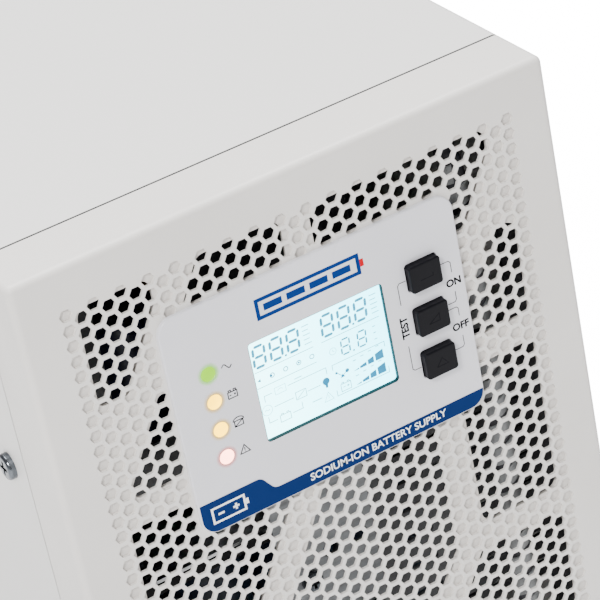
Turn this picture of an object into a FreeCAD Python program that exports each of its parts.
import FreeCAD, Part
import math
import os

# Tower uninterruptible power supply with a sodium-ion battery inside. Millimetres, +Z up, +X to the
# right of someone facing the front, and the front looks along -Y. The origin is at floor level,
# under the middle of the whole object.

V = FreeCAD.Vector
UP = V(0, 0, 1)
BACK = V(0, 1, 0)
RIGHT = V(1, 0, 0)

doc = FreeCAD.newDocument("TowerUps")
sheet = doc.addObject("Spreadsheet::Sheet", "Sizes")

DRIVING = {
    "case_width": 190.0,
    "case_height": 318.0,
    "foot_height": 8.0,
    "front_reach": 208.5,
    "rear_reach": 204.5,
    "bezel_depth": 24.0,
    "bezel_gap": 1.0,
    "bezel_wall": 2.0,
    "bezel_round": 2.5,
    "mesh_gauge": 1.0,
    "hole_pitch": 5.35,
    "hole_flats": 4.0,
    "hole_columns": 35,
    "hole_rows": 53,
    "web_gauge": 1.3,
    "cover_gauge": 1.0,
    "plate_gauge": 1.2,
    "panel_width": 106.3,
    "panel_height": 78.9,
    "panel_drop": 30.4,
    "panel_offset": 0.4,
    "panel_proud": 1.5,
    "panel_round": 6.0,
    "screen_width": 49.0,
    "screen_height": 36.3,
    "screen_centre": 68.75,
    "key_width": 11.5,
    "key_height": 9.6,
    "key_proud": 2.7,
    "key_across": 38.9,
    "key_first": 53.4,
    "key_pitch": 16.05,
    "key_clear": 0.3,
    "key_travel": 0.8,
    "lamp_across": -39.4,
    "lamp_first": 54.4,
    "lamp_pitch": 10.15,
    "lamp_width": 4.9,
    "cell_width": 33.0,
    "cell_length": 138.0,
    "cell_pitch": 35.0,
    "shelf_level": 168.0,
    "board_level": 177.2,
    "fan_width": 80.0,
    "fan_depth": 25.0,
    "fan_across": 44.0,
    "fan_level": 262.0,
    "shaft_width": 3.0,
    "shaft_clear": 0.05,
    "socket_width": 39.0,
    "socket_depth": 17.5,
    "socket_level": 135.0,
    "inlet_level": 75.0,
    "stud_width": 5.0,
    "stud_reach": 212.7,
}

for row, (alias, value) in enumerate(DRIVING.items(), start=1):
    sheet.set(f"A{row}", alias)
    sheet.set(f"B{row}", str(value))
    sheet.setAlias(f"B{row}", alias)
doc.recompute()


def size(alias):
    """A driving dimension, read back from the sheet."""
    return float(sheet.get(alias))


HALF = size("case_width") / 2
TOP = size("case_height")
FOOT = size("foot_height")
FRONT = -size("front_reach")
REAR = size("rear_reach")
COVER = size("cover_gauge")
PLATE = size("plate_gauge")
PANEL_FACE = FRONT - size("panel_proud")
PANEL_TOP = TOP - size("panel_drop")
BULKHEAD = FRONT + size("bezel_depth") + 0.05
INNER = HALF - COVER - 0.5

parts = []


# ---------------------------------------------------------------- helpers

def keep(thing):
    """Registers a finished sub-part. Its Label names its file."""
    parts.append(thing)
    return thing


def feature(label, shape):
    """A sub-part whose shape is worked out in code."""
    thing = doc.addObject("Part::Feature", label)
    thing.Shape = shape
    thing.Placement = FreeCAD.Placement()
    return keep(thing)


def group(label, shapes):
    """Several separate solids in one sub-part."""
    return feature(label, Part.makeCompound(shapes))


def joined(label, things):
    """Several document objects kept as the separate solids of one sub-part."""
    compound = doc.addObject("Part::Compound", label)
    compound.Links = things
    return keep(compound)


def block(low, high):
    """A box between two corners, given as X, Y, Z."""
    span = V(*high) - V(*low)
    return Part.makeBox(span.x, span.y, span.z, V(*low))


def bar(radius, start, axis, length):
    return Part.makeCylinder(radius, length, V(*start), axis)


def bound(kind, label, rules):
    """A Part primitive whose properties follow the sheet."""
    thing = doc.addObject(kind, label)
    for prop, rule in rules.items():
        thing.setExpression(prop, rule)
    return thing


def box(label, span, corner):
    """A Part::Box with its span and low corner given as three rules each."""
    rules = dict(zip(("Length", "Width", "Height"), span))
    rules.update(zip((f"Placement.Base.{axis}" for axis in "xyz"), corner))
    return bound("Part::Box", label, rules)


def rounded(points, radius):
    """A closed outline through the points. radius rounds every corner, or lists one for each."""
    radii = radius if isinstance(radius, list) else [radius] * len(points)
    corners = []
    for index, (here, radius) in enumerate(zip(points, radii)):
        before = (points[index - 1] - here).normalize()
        after = (points[(index + 1) % len(points)] - here).normalize()
        half = before.getAngle(after) / 2
        middle = (before + after).normalize()
        centre = here + middle * (radius / math.sin(half))
        reach = radius / math.tan(half)
        corners.append((here + before * reach, centre - middle * radius, here + after * reach))
    outline = []
    for index, (start, bulge, end) in enumerate(corners):
        following = corners[(index + 1) % len(corners)][0]
        if start.distanceToPoint(end) > 1e-4:
            outline.append(Part.Arc(start, bulge, end))
        if end.distanceToPoint(following) > 1e-4:
            outline.append(Part.LineSegment(end, following))
    return outline


def polygon(points):
    ends = points[1:] + points[:1]
    return [Part.LineSegment(a, b) for a, b in zip(points, ends)]


def rectangle(across, up, width, height, radius=0.0):
    """A rectangle about its centre, as sketch geometry."""
    w, h = width / 2, height / 2
    points = [V(across - w, up - h), V(across + w, up - h), V(across + w, up + h), V(across - w, up + h)]
    return rounded(points, radius) if radius else polygon(points)


def circle(across, up, radius):
    return [Part.Circle(V(across, up), UP, radius)]


def pad_body(label, plane, loops, length_rule, base):
    """A PartDesign body: one sketch on an origin plane, padded along the plane's normal.

    A sketch on XZ_Plane pads towards -Y, so base is then the back of the plate.
    """
    body = doc.addObject("PartDesign::Body", label)
    sketch = body.newObject("Sketcher::SketchObject", f"{label}_outline")
    face = [item for item in body.Origin.OriginFeatures if item.Role == plane][0]
    sketch.AttachmentSupport = [(face, "")]
    sketch.MapMode = "FlatFace"
    for loop in loops:
        sketch.addGeometry(loop, False)
    pad = body.newObject("PartDesign::Pad", f"{label}_pad")
    pad.Profile = sketch
    pad.setExpression("Length", length_rule)
    body.Placement = FreeCAD.Placement(V(*base), FreeCAD.Rotation())
    body.Tip = pad
    sketch.Visibility = False
    return body


def eased(body, radius, wanted):
    """Rounds those edges of a body's last feature that the wanted test picks."""
    doc.recompute()
    base = body.Tip
    edges = [f"Edge{index}" for index, edge in enumerate(base.Shape.Edges, start=1) if wanted(edge)]
    fillet = body.newObject("PartDesign::Fillet", f"{body.Label}_round")
    fillet.Base = (base, edges)
    fillet.Radius = radius
    body.Tip = fillet
    doc.recompute()


def drilled(label, source, tools):
    """A Part::Cut that takes the tool shapes out of a source object."""
    drill = doc.addObject("Part::Feature", f"{label}_drill")
    drill.Shape = Part.makeCompound(tools)
    thing = doc.addObject("Part::Cut", label)
    thing.Base = source
    thing.Tool = drill
    return thing


def turned(shape, axis, spot):
    """Moves a shape made along +Z so that +Z lies along axis and the origin is at spot."""
    copy = shape.copy()
    copy.Placement = FreeCAD.Placement(V(*spot), FreeCAD.Rotation(UP, axis))
    return copy


def pan_screw(head_width, head_height, shank_width, shank_length):
    """A cross-recess pan screw: the head stands along +Z and the shank runs along -Z."""
    head = Part.makeCylinder(head_width / 2, head_height)
    head = head.makeFillet(head_height * 0.45, [head.Edges[0]])
    shank = Part.makeCylinder(shank_width / 2, shank_length, V(0, 0, -shank_length))
    arm = head_width * 0.28
    slot = head_width * 0.07
    recess = block((-arm, -slot, head_height * 0.4), (arm, slot, head_height + 1))
    cross = recess.fuse(recess.rotated(V(), UP, 90))
    return head.fuse(shank).cut(cross)


def lead(points, bend, width):
    """A round cable along straight runs joined by tangent arcs of one bend radius."""
    corners = [V(*point) for point in points]
    edges = []
    start = corners[0]
    for before, here, after in zip(corners, corners[1:], corners[2:]):
        inward = (before - here).normalize()
        onward = (after - here).normalize()
        half = inward.getAngle(onward) / 2
        reach = bend / math.tan(half)
        middle = (inward + onward).normalize()
        bulge = here + middle * (bend / math.sin(half) - bend)
        edges.append(Part.LineSegment(start, here + inward * reach).toShape())
        edges.append(Part.Arc(here + inward * reach, bulge, here + onward * reach).toShape())
        start = here + onward * reach
    edges.append(Part.LineSegment(start, corners[-1]).toShape())
    path = Part.Wire(edges)
    ring = Part.Circle(corners[0], (corners[1] - corners[0]).normalize(), width / 2)
    return path.makePipeShell([Part.Wire([ring.toShape()])], True, True)


# ---------------------------------------------------------------- enclosure

SIDE_SCREWS = [(side, y, TOP - drop) for side in (-1, 1) for y in (FRONT + 37.5, REAR - 12)
               for drop in (79.3, 258.0)]
FOOT_SPOTS = [(x, y) for x in (-78, 78) for y in (FRONT + 45, REAR - 22)]
POST_SPOTS = [(x, z) for x in (-87.3, 87.3) for z in (FOOT + 9, TOP - 9)]


def side_drills(radius):
    return [bar(radius, (side * (HALF + 1), y, z), RIGHT * -side, 8) for side, y, z in SIDE_SCREWS]


def make_wrap_cover():
    """The painted sheet over the top and both sides: an upside-down U, open in front and behind."""
    skirt = FOOT + 1.5
    outline = [V(-HALF, skirt), V(-HALF, TOP), V(HALF, TOP), V(HALF, skirt),
               V(HALF - COVER, skirt), V(HALF - COVER, TOP - COVER),
               V(COVER - HALF, TOP - COVER), V(COVER - HALF, skirt)]
    rule = "Sizes.front_reach + Sizes.rear_reach - Sizes.bezel_depth - Sizes.bezel_gap"
    outer = size("bezel_round")
    bends = [0, outer, outer, 0, 0, outer - COVER, outer - COVER, 0]
    body = pad_body("cover_sheet", "XZ_Plane", [rounded(outline, bends)], rule, (0, REAR, 0))
    return keep(drilled("wrap_cover", body, side_drills(2.2)))


def make_base_chassis():
    """The floor of the case, with an upturned flange down each side."""
    low, flange = FOOT, FOOT + 30
    wall = INNER - PLATE - 0.2
    outline = [V(-INNER, low), V(INNER, low), V(INNER, low + PLATE), V(wall, low + PLATE),
               V(wall, flange), V(wall - PLATE, flange), V(wall - PLATE, low + PLATE),
               V(PLATE - wall, low + PLATE), V(PLATE - wall, flange), V(-wall, flange),
               V(-wall, low + PLATE), V(-INNER, low + PLATE)]
    rule = "Sizes.front_reach + Sizes.rear_reach - Sizes.bezel_depth - 5 - Sizes.plate_gauge"
    body = pad_body("chassis_sheet", "XZ_Plane", [polygon(outline)], rule, (0, REAR - PLATE - 1, 0))
    return keep(drilled("base_chassis", body, [bar(2.2, (x, y, 0), UP, 30) for x, y in FOOT_SPOTS]))


def folded_plate(label, face, depth, holes):
    """An upright plate with a flange along each side, pierced by the hole loops.

    face is the Y of its outer face and depth runs to the flanges' ends, either way along Y.
    """
    step = math.copysign(PLATE, depth)
    outline = [V(-INNER, face), V(INNER, face), V(INNER, face + depth), V(INNER - PLATE, face + depth),
               V(INNER - PLATE, face + step), V(PLATE - INNER, face + step),
               V(PLATE - INNER, face + depth), V(-INNER, face + depth)]
    rule = "Sizes.case_height - Sizes.foot_height - 3"
    body = pad_body(f"{label}_sheet", "XY_Plane", [polygon(outline)], rule, (0, 0, FOOT + PLATE + 0.2))
    cutters = []
    for loop in holes:
        wire = Part.Wire([edge.toShape() for edge in loop])
        wire.rotate(V(), RIGHT, 90)
        cutters.append(Part.Face(wire).extrude(V(0, 10, 0)).translated(V(0, face - 5, 0)))
    return keep(drilled(label, body, cutters + side_drills(2.2)))


def drop_window(left, right, high, low, radius=3.0):
    """A rounded rectangle given by its sides, with heights as drops below the top of the case."""
    return rectangle((left + right) / 2, TOP - (high + low) / 2, right - left, low - high, radius)


BRACKET_SCREWS = [(-9.6, 161.3), (-9.6, 184.0), (12, 184.0)]
BRACKET_HOLES = [(-0.5, 153.0), (11.3, 153.0)]


def make_front_bulkhead():
    """The sheet behind the bezel: large windows for air and leads, and rows of slots on the right."""
    holes = [drop_window(-62, -29, 24, 86), drop_window(-67, -19.4, 103, 285),
             drop_window(-24, 18, 55, 100), drop_window(30, 82, 14, 112),
             drop_window(-10, 82, 205, 285)]
    for column in range(4):
        holes += [rectangle(33.7 + 14.1 * column, TOP - 119.3 - 11.4 * row, 10.5, 1.8, 0.8)
                  for row in range(8)]
    holes += [circle(x, z, 2.0) for x, z in POST_SPOTS]
    holes += [circle(x, TOP - drop, 2.3) for x, drop in BRACKET_SCREWS]
    holes += [circle(x, TOP - drop, 3.0) for x, drop in BRACKET_HOLES]
    return folded_plate("front_bulkhead", BULKHEAD, 20, holes)


def make_bracket_plate():
    """A bright zinc plate on the front of the bulkhead that the harness ties to."""
    loops = [rectangle(-1.5, TOP - 155, 36.6, 70, 2)]
    loops += [circle(x, TOP - drop, 3.0) for x, drop in BRACKET_HOLES]
    loops += [circle(x, TOP - drop, 2.3) for x, drop in BRACKET_SCREWS]
    return keep(pad_body("bracket_plate", "XZ_Plane", loops, "Sizes.plate_gauge", (0, BULKHEAD, 0)))


def make_enclosure_fasteners():
    cover_screw = pan_screw(9.0, 2.6, 4.0, 6.0)
    group("cover_screws", [turned(cover_screw, RIGHT * side, (side * HALF, y, z))
                           for side, y, z in SIDE_SCREWS])
    small = pan_screw(7.0, 2.2, 3.9, 5.0)
    screws = [turned(small, BACK, (x, BULKHEAD + PLATE, z)) for x, z in POST_SPOTS]
    plate_screw = pan_screw(7.5, 2.4, 4.0, 5.0)
    screws += [turned(plate_screw, -BACK, (x, BULKHEAD - PLATE, TOP - drop)) for x, drop in BRACKET_SCREWS]
    screws += [turned(small, UP, (x, y, FOOT + PLATE)) for x, y in FOOT_SPOTS]
    group("chassis_screws", screws)


def make_feet():
    """Four round rubber feet, tapered, with a pocket for the screw's end."""
    foot = Part.makeCone(10.5, 12.0, FOOT)
    foot = foot.makeFillet(1.0, [edge for edge in foot.Edges if edge.BoundBox.ZMax < 0.01])
    foot = foot.cut(bar(2.2, (0, 0, FOOT - 6), UP, 10))
    group("rubber_feet", [foot.translated(V(x, y, 0)) for x, y in FOOT_SPOTS])


# ---------------------------------------------------------------- front bezel

def hexagon(across, up):
    """A through-hole cutter of the mesh: flat above and below, points left and right."""
    corner = size("hole_flats") / math.sqrt(3)
    points = [V(across + corner * math.cos(turn), FRONT - 1, up + corner * math.sin(turn))
              for turn in (index * math.pi / 3 for index in range(6))]
    return Part.Face(Part.makePolygon(points + points[:1])).extrude(V(0, size("mesh_gauge") + 2, 0))


def mesh_strip(first, last, low, high, keep_out):
    """Part of the front sheet that holds a few columns of holes, leaving out those in keep_out."""
    pitch = size("hole_pitch")
    column_pitch = pitch * math.sqrt(3) / 2
    columns, rows = int(size("hole_columns")), int(size("hole_rows"))
    middle = (columns - 1) / 2
    level = (TOP + FOOT) / 2 + pitch * (rows - 1) / 2
    left, right = (first - middle - 0.5) * column_pitch, (last - middle - 0.5) * column_pitch
    sheet_piece = block((left, FRONT, low), (right, FRONT + size("mesh_gauge"), high))
    cutters = []
    for column in range(first, last):
        across = (column - middle) * column_pitch
        shift = 0.5 if column % 2 else 0.0
        for row in range(rows - column % 2):
            up = level - (row + shift) * pitch
            if not (abs(across) < keep_out[0] and abs(up - keep_out[1]) < keep_out[2]):
                cutters.append(hexagon(across, up))
    return sheet_piece.cut(Part.makeCompound(cutters))


def make_front_bezel():
    """The moulded front: a shallow tray with rounded edges and a hexagon mesh over its whole face."""
    depth, wall = size("bezel_depth"), size("bezel_wall")
    gauge, radius = size("mesh_gauge"), size("bezel_round")
    outer = block((-HALF, FRONT, FOOT), (HALF, FRONT + depth, TOP))
    outer = outer.makeFillet(radius, [edge for edge in outer.Edges
                                      if edge.BoundBox.YMax < FRONT + 0.01 or edge.BoundBox.YLength > 1])
    hollow = block((wall - HALF, FRONT + gauge, FOOT + wall), (HALF - wall, FRONT + depth + 1, TOP - wall))
    hollow = hollow.makeFillet(1.0, [edge for edge in hollow.Edges
                                     if edge.BoundBox.YMax < FRONT + gauge + 0.01])
    columns = int(size("hole_columns"))
    reach = columns / 2 * size("hole_pitch") * math.sqrt(3) / 2
    low, high = FOOT + 10, TOP - 10
    ring = outer.cut(hollow).cut(block((-reach, FRONT - 1, low), (reach, FRONT + 3, high)))
    centre = PANEL_TOP - size("panel_height") / 2
    keep_out = (52.2, centre, 38.4)
    strips = [mesh_strip(first, first + 5, low, high, keep_out) for first in range(0, columns, 5)]
    shell = ring.multiFuse(strips)
    window = block((-49, FRONT - 2, centre - 35.5), (49, FRONT + 5, centre + 35.5))
    return feature("front_bezel", shell.cut(window))


# The web's windows: each corner is its across, its drop below the top of the case and its radius.
WEB_WINDOWS = [
    [(-75.2, 15.8, 4.0), (-50.3, 15.8, 4.0), (-50.3, 24.7, 2.0), (-65.2, 50.6, 2.0), (-75.2, 50.6, 2.0)],
    [(-33.7, 15.8, 4.0), (-4.6, 15.8, 4.0), (-4.6, 30.6, 2.0), (-42.2, 30.6, 0.8)],
    [(5.5, 15.8, 4.0), (70.6, 15.8, 4.5), (70.6, 23.4, 1.5), (57.8, 46.8, 1.5), (52.8, 46.8, 1.5),
     (52.8, 30.6, 1.0), (5.5, 30.6, 2.0)],
    [(66.6, 51.3, 2.0), (76.4, 51.3, 4.5), (76.4, 86.2, 2.0), (52.8, 86.2, 2.0), (52.8, 75.9, 2.0)],
    [(-52.4, 49.4, 2.2), (-52.4, 86.5, 2.0), (-70.9, 86.5, 2.0), (-70.9, 81.4, 2.0)],
    [(-75.2, 96.2, 2.0), (-52.4, 96.2, 2.0), (-52.4, 109.0, 1.0), (-17.8, 109.0, 2.0),
     (-58.0, 178.0, 2.0), (-75.2, 178.0, 2.0)],
    [(-6.4, 109.0, 2.0), (35.5, 109.0, 2.0), (35.5, 159.9, 2.0), (8.5, 200.0, 2.0), (-55.0, 200.0, 2.0)],
    [(52.8, 96.2, 2.0), (76.4, 96.2, 2.0), (76.4, 155.2, 4.5), (46.1, 155.2, 4.0), (46.1, 109.0, 2.0),
     (52.8, 109.0, 1.0)],
    [(43.6, 165.0, 2.0), (76.4, 165.0, 4.5), (76.4, 215.0, 2.0), (14.9, 215.0, 2.0)],
    [(-75.2, 211.0, 2.0), (1.5, 211.0, 2.0), (-22.0, 250.0, 2.0), (-75.2, 250.0, 2.0)],
    [(6.0, 226.0, 2.0), (76.4, 226.0, 2.0), (76.4, 250.0, 2.0), (-8.5, 250.0, 2.0)],
    [(-75.2, 260.5, 2.0), (-30.0, 260.5, 2.0), (-50.0, 294.0, 2.0), (-75.2, 294.0, 4.0)],
    [(-17.5, 260.5, 2.0), (76.4, 260.5, 2.0), (76.4, 294.0, 4.0), (-37.5, 294.0, 2.0)],
]


def make_bezel_web():
    """The stiffening plate straight behind the mesh, with slanted windows and one for the panel."""
    loops = [rectangle(0, (TOP + FOOT) / 2, 162.0, 286)]
    for outline in WEB_WINDOWS:
        points = [V(across, TOP - drop) for across, drop, _ in outline]
        loops.append(rounded(points, [radius for _, _, radius in outline]))
    loops.append(rectangle(0, PANEL_TOP - size("panel_height") / 2, 100, 73, 1.0))
    back = FRONT + size("mesh_gauge") + size("web_gauge")
    return keep(pad_body("bezel_web", "XZ_Plane", loops, "Sizes.web_gauge", (0, back, 0)))


def make_bezel_posts():
    """Hollow posts in the bezel's corners, which the bulkhead's screws bite into."""
    start = FRONT + size("mesh_gauge")
    posts = []
    for x, z in POST_SPOTS:
        post = bar(4.5, (x, start, z), BACK, BULKHEAD - start)
        posts.append(post.cut(bar(2.0, (x, BULKHEAD - 10, z), BACK, 11)))
    group("bezel_posts", posts)


# ---------------------------------------------------------------- control panel

SCREEN_LEVEL = TOP - size("screen_centre")
KEY_LEVELS = [TOP - size("key_first") - size("key_pitch") * index for index in range(3)]
LAMP_LEVELS = [TOP - size("lamp_first") - size("lamp_pitch") * index for index in range(4)]
PANEL_LEVEL = PANEL_TOP - size("panel_height") / 2
BOARD_FRONT = FRONT + 6.7


def make_control_panel():
    """The grey fascia: a thin front plate with a rim that reaches back through the bezel."""
    centre = size("panel_offset")
    width, height = size("panel_width"), size("panel_height")
    gap = size("key_clear")
    loops = [rectangle(centre, PANEL_LEVEL, width, height, size("panel_round")),
             rectangle(-0.3, SCREEN_LEVEL, size("screen_width"), size("screen_height"), 1.3)]
    loops += [rectangle(size("key_across"), level, size("key_width") + 2 * gap,
                        size("key_height") + 2 * gap, 1.2) for level in KEY_LEVELS]
    loops += [circle(size("lamp_across"), level, size("lamp_width") / 2 + 0.1) for level in LAMP_LEVELS]
    plate = pad_body("fascia_plate", "XZ_Plane", loops, "Sizes.panel_proud", (0, FRONT, 0))
    eased(plate, 0.5, lambda edge: edge.BoundBox.YMax < 0.01 - size("panel_proud") and
          max(abs(edge.CenterOfMass.x - centre) - width / 2,
              abs(edge.CenterOfMass.z - PANEL_LEVEL) - height / 2) > -4)
    outer = block((-48.6, FRONT, PANEL_LEVEL - 35.1), (48.6, FRONT + 8.5, PANEL_LEVEL + 35.1))
    inner = block((-47.1, FRONT - 1, PANEL_LEVEL - 33.6), (47.1, FRONT + 9.5, PANEL_LEVEL + 33.6))
    rim_part = doc.addObject("Part::Feature", "fascia_rim")
    rim_part.Shape = outer.cut(inner)
    panel = doc.addObject("Part::Fuse", "control_panel")
    panel.Base = plate
    panel.Tool = rim_part
    return keep(panel)


def make_label_strip():
    """A printed film along the panel's foot: one tall end that steps down in an S to a thin band."""
    centre = size("panel_offset")
    left = centre - size("panel_width") / 2 + 0.5
    right = centre + size("panel_width") / 2 - 0.5
    foot = PANEL_LEVEL - size("panel_height") / 2 + 0.5
    high, low = foot + 11.1, foot + 5.3
    corner = low - foot - 0.05
    points = [V(left, high), V(-29.9, high), V(-25.8, low), V(right, low), V(right, foot), V(left, foot)]
    outline = rounded(points, [0, 3.0, 3.0, 0, corner, corner])
    return keep(pad_body("label_strip", "XZ_Plane", [outline], "0.15", (0, PANEL_FACE, 0)))


def make_screen():
    """The display: glass against the fascia, a backlight behind it and a frame around both."""
    across = -0.3
    glass = [rectangle(across, SCREEN_LEVEL, 53, 40, 0.5)]
    keep(pad_body("lcd_glass", "XZ_Plane", glass, "1.1", (0, FRONT + 1.15, 0)))
    keep(pad_body("lcd_backlight", "XZ_Plane", glass, "3.0", (0, FRONT + 4.25, 0)))
    frame = [rectangle(across, SCREEN_LEVEL, 56.4, 43.4, 1.0),
             rectangle(across, SCREEN_LEVEL, 53.2, 40.2, 0.5)]
    keep(pad_body("lcd_frame", "XZ_Plane", frame, "6.3", (0, BOARD_FRONT - 0.05, 0)))


def make_lamp(level):
    """A round lamp lens: a plain barrel with a low dome and a collar behind the fascia."""
    radius = size("lamp_width") / 2
    spot = size("lamp_across")
    barrel = bar(radius, (spot, PANEL_FACE, level), BACK, BOARD_FRONT - PANEL_FACE)
    dome_height = 0.55
    ball = (radius**2 + dome_height**2) / (2 * dome_height)
    dome = Part.makeSphere(ball, V(spot, PANEL_FACE - dome_height + ball, level))
    dome = dome.common(bar(radius, (spot, PANEL_FACE - 1, level), BACK, 2))
    collar = bar(radius + 0.45, (spot, FRONT + 0.3, level), BACK, 1.0)
    return barrel.fuse(dome).fuse(collar).removeSplitter()


def make_lamps():
    feature("lamp_green", make_lamp(LAMP_LEVELS[0]))
    group("lamp_amber", [make_lamp(LAMP_LEVELS[1]), make_lamp(LAMP_LEVELS[2])])
    feature("lamp_red", make_lamp(LAMP_LEVELS[3]))


def make_key(label, level):
    """A rectangular key with a collar that holds it behind the fascia and a stem for its switch."""
    across = size("key_across")
    width, height = size("key_width"), size("key_height")
    face = PANEL_FACE - size("key_proud")
    body = pad_body(f"{label}_cap", "XZ_Plane", [rectangle(across, level, width, height, 1.0)],
                    "Sizes.key_proud + Sizes.panel_proud + 1.0", (0, FRONT + 1.0, 0))
    eased(body, 0.5, lambda edge: edge.BoundBox.YMax < face - FRONT - 0.99)
    collar = block((across - width / 2 - 0.9, FRONT + 0.3, level - height / 2 - 0.9),
                   (across + width / 2 + 0.9, FRONT + 1.3, level + height / 2 + 0.9))
    back = doc.addObject("Part::Feature", f"{label}_stem")
    back.Shape = collar.fuse(bar(1.75, (across, FRONT + 1.3, level), BACK, 0.7))
    key = doc.addObject("Part::Fuse", label)
    key.Base = body
    key.Tool = back
    return keep(key)


def make_display_electronics():
    """The board behind the panel with its three push switches, its cover and its screws."""
    across = size("key_across")
    screws = [(x, PANEL_LEVEL + z) for x in (-43, 43) for z in (-30.5, 30.5)]
    loops = [rectangle(0, PANEL_LEVEL, 93.8, 66.8, 1.0)] + [circle(x, z, 1.8) for x, z in screws]
    keep(pad_body("display_board", "XZ_Plane", loops, "1.6", (0, BOARD_FRONT + 1.6, 0)))
    switches = []
    for level in KEY_LEVELS:
        case = block((across - 3, BOARD_FRONT - 3.5, level - 3), (across + 3, BOARD_FRONT, level + 3))
        plunger = bar(1.7, (across, BOARD_FRONT - 3.7, level), BACK, 1.0)
        switches.append(case.fuse(plunger))
    group("key_switches", switches)
    back = FRONT + 10.4
    cover = [rectangle(0, PANEL_LEVEL, 97.2, 70.2, 1.5), rectangle(-10, PANEL_LEVEL, 26, 12, 1.0)]
    cover += [circle(x, z, 1.8) for x, z in screws]
    keep(pad_body("display_cover", "XZ_Plane", cover, "1.5", (0, back, 0)))
    return [turned(pan_screw(5.6, 1.8, 3.0, 3.6), BACK, (x, back, z)) for x, z in screws]


# ---------------------------------------------------------------- battery

PACK_FLOOR = FOOT + PLATE + 0.4
CELL_FLOOR = PACK_FLOOR + 1.6
CELL_SPOTS = [((column - 1.5) * size("cell_pitch"), (row - 3.1) * size("cell_pitch"))
              for column in range(4) for row in range(6)]
PACK_SPAN = (2 * size("cell_pitch") + 4, -3.1 * size("cell_pitch") - 19.5, 1.9 * size("cell_pitch") + 19.5)
CELL_TOP = CELL_FLOOR + size("cell_length")


def make_cells():
    radius = size("cell_width") / 2
    cell = Part.makeCylinder(radius, size("cell_length") - 1.5)
    cell = cell.makeFillet(1.0, [edge for edge in cell.Edges if edge.Closed])
    terminal = Part.makeCylinder(5.5, 1.6, V(0, 0, size("cell_length") - 1.6))
    cell = cell.fuse(terminal)
    group("sodium_cells", [cell.translated(V(x, y, CELL_FLOOR)) for x, y in CELL_SPOTS])


def make_battery_frame():
    """The steel tray, and the two pierced plates that hold the cells apart."""
    side, near, far = PACK_SPAN
    tray = block((-side, near, PACK_FLOOR), (side, far, PACK_FLOOR + 34))
    tray = tray.cut(block((1.2 - side, near + 1.2, PACK_FLOOR + 1.2), (side - 1.2, far - 1.2, 200)))
    feature("battery_tray", tray)
    loops = [rectangle(0, (near + far) / 2, 2 * side - 3, far - near - 3, 2)]
    loops += [circle(x, y, size("cell_width") / 2 + 0.2) for x, y in CELL_SPOTS]
    joined("cell_holders", [pad_body(label, "XY_Plane", loops, "8", (0, 0, level)) for label, level in
                            (("lower_holder", CELL_FLOOR + 4), ("upper_holder", CELL_TOP - 14))])


def make_battery_links():
    """Flat links over the cell terminals, the watch board on top and the strap over the pack."""
    links = []
    pitch = size("cell_pitch")
    for column in range(4):
        x = (column - 1.5) * pitch
        for pair in range(3):
            y = (2 * pair - 2.6) * pitch
            reach = pitch / 2 + 9
            links.append(block((x - 7, y - reach, CELL_TOP), (x + 7, y + reach, CELL_TOP + 1)))
    group("cell_links", links)
    board = [rectangle(0, -70, 110, 66, 2)]
    keep(pad_body("battery_board", "XY_Plane", board, "1.6", (0, 0, CELL_TOP + 5)))
    side = PACK_SPAN[0]
    strap = block((-side - 1.6, 20, FOOT + PLATE), (side + 1.6, 38, CELL_TOP + 2.6))
    strap = strap.cut(block((-side - 0.4, 19, 0), (side + 0.4, 39, CELL_TOP + 1.4)))
    feature("battery_strap", strap)
    return [bar(3, (x, y, CELL_TOP + 1), UP, 4) for x in (-pitch * 1.5, pitch * 1.5) for y in (-95, -45)]


def make_battery_leads():
    """Two heavy leads from the pack's rear end down to a plug block by the inlet."""
    level = CELL_TOP - 22
    rear = PACK_SPAN[2]
    for label, x in (("battery_lead_positive", 20.0), ("battery_lead_negative", 34.0)):
        points = [(x, rear, level), (x, rear + 30, level), (x, rear + 30, 85)]
        feature(label, lead(points, 14, 6.0))
    plug = block((12, rear + 20, 50), (42, rear + 40, 85))
    plug = plug.makeFillet(1.5, [edge for edge in plug.Edges if edge.BoundBox.ZLength > 30])
    feature("battery_plug", plug)


# ---------------------------------------------------------------- power electronics

BOARD_TOP = size("board_level") + 1.6
BOARD_POSTS = [(x, y) for x in (-80, 80) for y in (-125, 10, 145)]


def make_shelf():
    shelf = box("mid_shelf", ("Sizes.case_width - 6.4", "345", "Sizes.plate_gauge"),
                ("-(Sizes.case_width - 6.4) / 2", "-165", "Sizes.shelf_level"))
    return keep(shelf)


def make_power_board(battery_posts, display_screws):
    loops = [rectangle(0, 10, 168, 282, 2)] + [circle(x, y, 1.8) for x, y in BOARD_POSTS]
    keep(pad_body("power_board", "XY_Plane", loops, "1.6", (0, 0, size("board_level"))))
    low = size("shelf_level") + PLATE
    posts = list(battery_posts)
    for x, y in BOARD_POSTS:
        post = bar(3.5, (x, y, low), UP, size("board_level") - low)
        posts.append(post.cut(bar(1.6, (x, y, low + 2), UP, 20)))
    group("board_posts", posts)
    screw = pan_screw(6.0, 2.0, 3.0, 5.0)
    group("board_screws", display_screws + [turned(screw, UP, (x, y, BOARD_TOP)) for x, y in BOARD_POSTS])


def heatsink(label, side):
    """An extruded comb along Y: an upright spine with level fins that reach outwards."""
    spine, tip = 38.0, 78.0
    low, high = BOARD_TOP + 6, BOARD_TOP + 76
    outline = [V(side * spine, low), V(side * spine, high), V(side * (spine + 6), high)]
    fins = 9
    pitch = (high - low) / fins
    for index in range(fins):
        top = high - index * pitch
        if index:
            outline += [V(side * (spine + 6), top)]
        outline += [V(side * tip, top), V(side * tip, top - 2.4), V(side * (spine + 6), top - 2.4)]
    outline += [V(side * (spine + 6), low)]
    outline = [point for index, point in enumerate(outline)
               if point.distanceToPoint(outline[index - 1]) > 1e-6]
    return pad_body(label, "XZ_Plane", [polygon(outline)], "170", (0, 130, 0))


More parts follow.
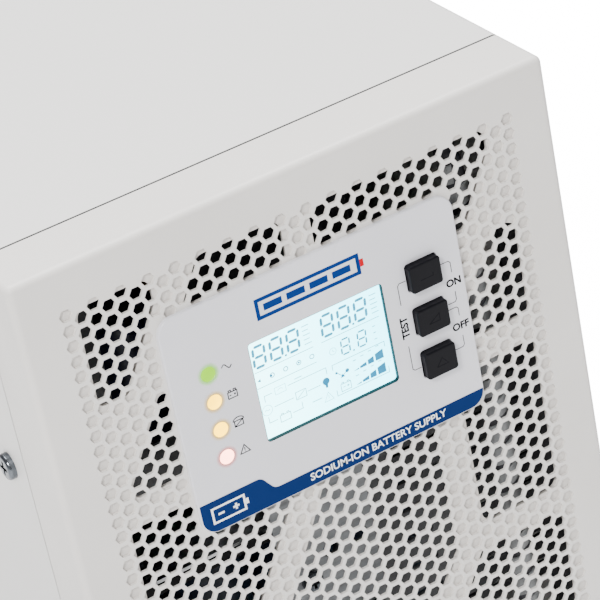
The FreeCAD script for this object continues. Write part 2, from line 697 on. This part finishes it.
def make_board_parts():
    """The large parts that stand on the power board."""
    devices = []
    for side in (-1, 1):
        for y in range(-20, 120, 28):
            near, far = sorted((side * 38, side * 32.8))
            case = block((near, y, BOARD_TOP + 22), (far, y + 16, BOARD_TOP + 43))
            pin = block((side * 35.6 - 0.4, y + 2, BOARD_TOP), (side * 35.6 + 0.4, y + 3.2, BOARD_TOP + 22))
            legs = [pin.translated(V(0, 5 * leg, 0)) for leg in range(3)]
            devices.append(case.multiFuse(legs))
    group("power_transistors", devices)
    can = Part.makeCylinder(15, 50)
    can = can.makeFillet(1.5, [edge for edge in can.Edges if edge.Closed])
    group("bus_capacitors", [can.translated(V(x, -92, BOARD_TOP)) for x in (-60, -20, 20, 60)])
    group("choke_coils", [Part.makeTorus(17, 9, V(0, -38, BOARD_TOP + 9.2)),
                          Part.makeTorus(14, 8, V(0, 72, BOARD_TOP + 8.2))])
    core = block((-22, 0, BOARD_TOP), (22, 40, BOARD_TOP + 46))
    slots = block((-23, 10, BOARD_TOP + 8), (23, 30, BOARD_TOP + 38))
    feature("transformer_core", core.cut(slots).fuse(block((-7, 14, BOARD_TOP + 8), (7, 26, BOARD_TOP + 38))))
    winding = block((-18, 10.3, BOARD_TOP + 8.4), (18, 29.7, BOARD_TOP + 37.6))
    winding = winding.cut(block((-7.3, 13.7, BOARD_TOP), (7.3, 26.3, BOARD_TOP + 60)))
    feature("transformer_winding", winding)
    relays = [block((x, 96, BOARD_TOP), (x + 12.7, 125, BOARD_TOP + 16)) for x in (-28, -12, 4, 20)]
    group("transfer_relays", relays)


# ---------------------------------------------------------------- front leads

def make_front_leads():
    """The wrapped harness down the right of the front bay, and the flat lead of the display."""
    harness_y = FRONT + 12
    back = BULKHEAD + 26
    points = [(63.5, back, TOP - 24), (63.5, harness_y, TOP - 24), (63.5, harness_y, TOP - 222),
              (63.5, back, TOP - 222)]
    feature("front_harness", lead(points, 9, 7.0))
    start = FRONT + 8.3
    centre = -10
    level = PANEL_LEVEL
    stop = -128.0
    path = [V(centre, start, level), V(centre, stop, level), V(centre, stop, BOARD_TOP)]
    bend = 6.0
    edges = [Part.LineSegment(path[0], V(centre, stop - bend, level)).toShape(),
             Part.Arc(V(centre, stop - bend, level), V(centre, stop - bend + bend * math.sqrt(0.5),
                      level - bend + bend * math.sqrt(0.5)), V(centre, stop, level - bend)).toShape(),
             Part.LineSegment(V(centre, stop, level - bend), path[2]).toShape()]
    half, thick = 10.0, 0.5
    corners = [(-half, -thick), (half, -thick), (half, thick), (-half, thick), (-half, -thick)]
    section = Part.makePolygon([V(centre + across, start, level + up) for across, up in corners])
    feature("display_cable", Part.Wire(edges).makePipeShell([section], True, True))


# ---------------------------------------------------------------- rear

SOCKET_SPOTS = (-62.0, -14.0, 34.0)
INLET_SPOT = -58.0
BREAKER_SPOT = (74.0, 146.0)
STUD_SPOT = (74.0, 116.0)
USB_SPOT = (20.0, 75.0)
SERIAL_SPOT = (54.0, 75.0)
CARD_SPOT = (-28.0, 193.0)
FAN_SPOTS = (-size("fan_across"), size("fan_across"))
FAN_SCREWS = [(centre + x, size("fan_level") + z) for centre in FAN_SPOTS
              for x in (-35.75, 35.75) for z in (-35.75, 35.75)]
CARD_SCREWS = [(CARD_SPOT[0] + x, CARD_SPOT[1]) for x in (-57, 57)]


def make_rear_panel():
    """The rear sheet, pierced for the fans, sockets, inlet, breaker, card bay and ports."""
    holes = [circle(x, size("fan_level"), 37.5) for x in FAN_SPOTS]
    holes += [rectangle(x, size("socket_level"), 43.4, 43.4) for x in SOCKET_SPOTS]
    holes += [rectangle(INLET_SPOT, size("inlet_level"), 36.4, 29.4)]
    holes += [circle(*BREAKER_SPOT, 6.2), circle(*STUD_SPOT, size("stud_width") / 2 + 0.2)]
    holes += [rectangle(*USB_SPOT, 12.4, 11.4, 0.5), rectangle(*SERIAL_SPOT, 20, 11, 1)]
    holes += [rectangle(*CARD_SPOT, 104, 28, 1)]
    holes += [circle(x, z, 1.9) for x, z in FAN_SCREWS + CARD_SCREWS]
    return folded_plate("rear_panel", REAR, -20, holes)


def make_fan_frame(x):
    """A square fan frame: round duct, four struts and a hub plate that holds the shaft."""
    level, width, depth = size("fan_level"), size("fan_width"), size("fan_depth")
    front = REAR - PLATE - depth
    half = width / 2
    frame = block((x - half, front, level - half), (x + half, front + depth, level + half))
    frame = frame.makeFillet(4, [edge for edge in frame.Edges if edge.BoundBox.YLength > 20])
    frame = frame.cut(bar(38, (x, front - 1, level), BACK, depth + 2))
    hub = bar(16, (x, front, level), BACK, 3.0)
    strut = block((x - 1.6, front, level - 38.5), (x + 1.6, front + 3, level + 38.5))
    struts = [strut.rotated(V(x, front, level), BACK, turn) for turn in (45, 135)]
    tube = bar(4, (x, front, level), BACK, 10)
    frame = frame.multiFuse([hub, tube] + struts)
    frame = frame.cut(bar(size("shaft_width") / 2 + size("shaft_clear"), (x, front - 1, level), BACK, 14))
    screws = [bar(1.9, (x + dx, front - 1, level + dz), BACK, depth + 2)
              for dx in (-35.75, 35.75) for dz in (-35.75, 35.75)]
    return frame.cut(Part.makeCompound(screws))


def make_fan_rotor(label, x):
    """Hub cup, shaft and seven pitched blades, clear of the duct by one millimetre and a half."""
    level = size("fan_level")
    front = REAR - PLATE - size("fan_depth")
    cup = bar(17, (x, front + 4, level), BACK, 19)
    cup = cup.cut(bar(15.4, (x, front + 3, level), BACK, 17.5))
    shaft = bar(size("shaft_width") / 2, (x, front + 1, level), BACK, 21)
    blade = block((-0.7, -10.5, 16.4), (0.7, 10.5, 36.4)).rotated(V(), UP, 42)
    blade = blade.translated(V(x, front + 13.5, level))
    centre = V(x, front, level)
    blades = [blade.rotated(centre, BACK, 360 / 7 * index) for index in range(7)]
    return feature(label, cup.multiFuse([shaft] + blades))


def make_fan_guard(x):
    """Round bars of flat wire on two crossed spokes, flat against the rear panel."""
    level, wire, gauge = size("fan_level"), 1.6, 1.8
    eye_spots = [(x + dx, level + dz) for dx in (-35.75, 35.75) for dz in (-35.75, 35.75)]
    guard = []
    for radius in (9, 18, 27, 36):
        disc = bar(radius + wire / 2, (x, REAR, level), BACK, gauge)
        guard.append(disc.cut(bar(radius - wire / 2, (x, REAR - 1, level), BACK, gauge + 2)))
    for turn in (45, 135):
        spoke = block((x - wire / 2, REAR, level - 50.5), (x + wire / 2, REAR + gauge, level + 50.5))
        guard.append(spoke.rotated(V(x, REAR, level), BACK, turn))
    guard += [bar(4.2, (across, REAR, up), BACK, gauge) for across, up in eye_spots]
    holes = [bar(1.9, (across, REAR - 1, up), BACK, 5) for across, up in eye_spots]
    return guard[0].multiFuse(guard[1:]).cut(Part.makeCompound(holes)).removeSplitter()


def make_fans():
    group("fan_frames", [make_fan_frame(x) for x in FAN_SPOTS])
    make_fan_rotor("fan_rotor_left", FAN_SPOTS[0])
    make_fan_rotor("fan_rotor_right", FAN_SPOTS[1])
    group("fan_guards", [make_fan_guard(x) for x in FAN_SPOTS])


def make_sockets():
    """Three round two-pin outlets with side earth clips."""
    level = size("socket_level")
    sockets, clips = [], []
    for x in SOCKET_SPOTS:
        flange = block((x - 23.4, REAR, level - 23.4), (x + 23.4, REAR + 1.8, level + 23.4))
        flange = flange.makeFillet(2, [edge for edge in flange.Edges if edge.BoundBox.YLength > 1])
        case = block((x - 21.5, REAR - 32, level - 21.5), (x + 21.5, REAR + 0.5, level + 21.5))
        mouth = REAR + 1.8 - size("socket_depth")
        recess = bar(size("socket_width") / 2, (x, mouth, level), BACK, size("socket_depth") + 1)
        pins = [bar(2.6, (x + dx, mouth - 12, level), BACK, 14) for dx in (-9.5, 9.5)]
        sockets.append(flange.fuse(case).cut(Part.makeCompound([recess])).cut(Part.makeCompound(pins)))
        for side in (-1, 1):
            low, high = sorted((level + side * 19.3, level + side * 17.6))
            clips.append(block((x - 2.2, mouth, low), (x + 2.2, mouth + 14, high)))
    group("outlet_sockets", sockets)
    return clips


def make_inlet(earth_clips):
    """The mains inlet: a shrouded recess with three flat pins."""
    x, level = INLET_SPOT, size("inlet_level")
    flange = block((x - 25, REAR, level - 18), (x + 25, REAR + 2.5, level + 18))
    flange = flange.makeFillet(4, [edge for edge in flange.Edges if edge.BoundBox.YLength > 1])
    case = block((x - 18, REAR - 22, level - 14.5), (x + 18, REAR + 1, level + 14.5))
    recess = block((x - 15.3, REAR + 2.5 - 19, level - 11.8), (x + 15.3, REAR + 4, level + 11.8))
    recess = recess.makeFillet(2.5, [edge for edge in recess.Edges if edge.BoundBox.YLength > 10])
    pins = []
    for dx, dz in ((-6.5, -4), (6.5, -4), (0, 3)):
        pin = block((-1, REAR - 16.5, -4), (1, REAR - 3.5, 4))
        pins.append(pin.translated(V(x + dx, 0, level + dz)))
    feature("mains_inlet", flange.fuse(case).cut(recess))
    group("mains_contacts", earth_clips + pins)


def make_breaker():
    """A push-to-reset breaker: threaded collar, case behind the panel and a sliding button."""
    x, z = BREAKER_SPOT
    collar = bar(7.5, (x, REAR, z), BACK, 2.2).fuse(bar(6.0, (x, REAR - 6, z), BACK, 8))
    case = block((x - 8, REAR - 34, z - 15), (x + 8, REAR - 5, z + 15))
    breaker = collar.fuse(case).cut(bar(4.1, (x, REAR - 14, z), BACK, 20))
    feature("breaker_body", breaker)
    button = bar(3.8, (x, REAR - 10, z), BACK, 14)
    button = button.makeFillet(0.8, [edge for edge in button.Edges
                                     if edge.Closed and edge.BoundBox.YMin > REAR])
    feature("breaker_button", button)


def make_ports():
    x, z = USB_SPOT
    shell = block((x - 6, REAR - 16, z - 5.5), (x + 6, REAR + 0.8, z + 5.5))
    cavity = block((x - 4.4, REAR - 14, z - 4.2), (x + 4.4, REAR + 2, z + 4.2))
    tongue = block((x - 2.8, REAR - 15, z - 1.6), (x + 2.8, REAR - 5, z + 1.6))
    usb = shell.cut(cavity).fuse(tongue)
    x, z = SERIAL_SPOT
    flange = block((x - 15.5, REAR, z - 6.2), (x + 15.5, REAR + 0.8, z + 6.2))
    corners = [(-8.4, 4.2), (8.4, 4.2), (6.8, -4.2), (-6.8, -4.2)]
    outline = rounded([V(x + across, z + up) for across, up in corners], 1.5)
    wire = Part.Wire([edge.toShape() for edge in outline])
    wire.rotate(V(), RIGHT, 90)
    shell = Part.Face(wire).extrude(V(0, 10, 0)).translated(V(0, REAR - 6, 0))
    pins = [bar(0.6, (x + (index - 2) * 2.77, REAR + 1, z + 1.4), BACK, 5) for index in range(5)]
    pins += [bar(0.6, (x + (index - 1.5) * 2.77, REAR + 1, z - 1.4), BACK, 5) for index in range(4)]
    group("data_ports", [usb, flange.fuse(shell).cut(Part.makeCompound(pins))])


def make_card_cover():
    loops = [rectangle(*CARD_SPOT, 122, 36, 1.0)] + [circle(x, z, 1.9) for x, z in CARD_SCREWS]
    return keep(pad_body("card_slot_cover", "XZ_Plane", loops, "Sizes.plate_gauge",
                         (0, REAR + PLATE, 0)))


def make_earth_stud():
    """A bare stud for the cabinet's earth lead, held by a nut on each side of the sheet."""
    x, z = STUD_SPOT
    stud = bar(size("stud_width") / 2, (x, REAR, z), BACK, size("stud_reach") - REAR)
    neck = bar(size("stud_width") / 2 - 0.3, (x, REAR - 8, z), BACK, 8)
    corners = [V(x + 4.6 * math.cos(turn), REAR - PLATE - 4, z + 4.6 * math.sin(turn))
               for turn in (index * math.pi / 3 for index in range(6))]
    nut = Part.Face(Part.makePolygon(corners + corners[:1])).extrude(V(0, 4, 0))
    return feature("earth_stud", stud.multiFuse([neck, nut]))


def make_rear_screws():
    screw = pan_screw(7.0, 2.2, 3.6, 8.0)
    spots = [(x, REAR + 1.8, z) for x, z in FAN_SCREWS] + [(x, REAR + PLATE, z) for x, z in CARD_SCREWS]
    group("rear_screws", [turned(screw, BACK, spot) for spot in spots])


# ---------------------------------------------------------------- build

make_wrap_cover()
make_base_chassis()
make_front_bulkhead()
make_bracket_plate()
make_enclosure_fasteners()
make_feet()
make_front_bezel()
make_bezel_web()
make_bezel_posts()
make_control_panel()
make_label_strip()
make_screen()
make_lamps()
for key_label, key_level in zip(("key_test", "key_on", "key_off"), KEY_LEVELS):
    make_key(key_label, key_level)
display_screws = make_display_electronics()
make_cells()
make_battery_frame()
battery_posts = make_battery_links()
make_battery_leads()
make_shelf()
make_power_board(battery_posts, display_screws)
joined("heatsinks", [heatsink("rectifier_comb", -1), heatsink("inverter_comb", 1)])
make_board_parts()
make_front_leads()
make_rear_panel()
make_fans()
make_inlet(make_sockets())
make_breaker()
make_ports()
make_card_cover()
make_earth_stud()
make_rear_screws()
doc.recompute()

for thing in doc.Objects:
    if "Invalid" in thing.State or "Error" in thing.State:
        raise RuntimeError(f"{thing.Label} failed: {thing.State}")
for thing in parts:
    if thing.Shape.isNull() or not thing.Shape.isValid() or thing.Shape.Volume <= 0:
        raise RuntimeError(f"{thing.Label} has no valid shape")

os.makedirs("parts", exist_ok=True)
for thing in parts:
    thing.Shape.exportStep(f"parts/{thing.Label}.step")
print(f"{len(parts)} sub-parts written")
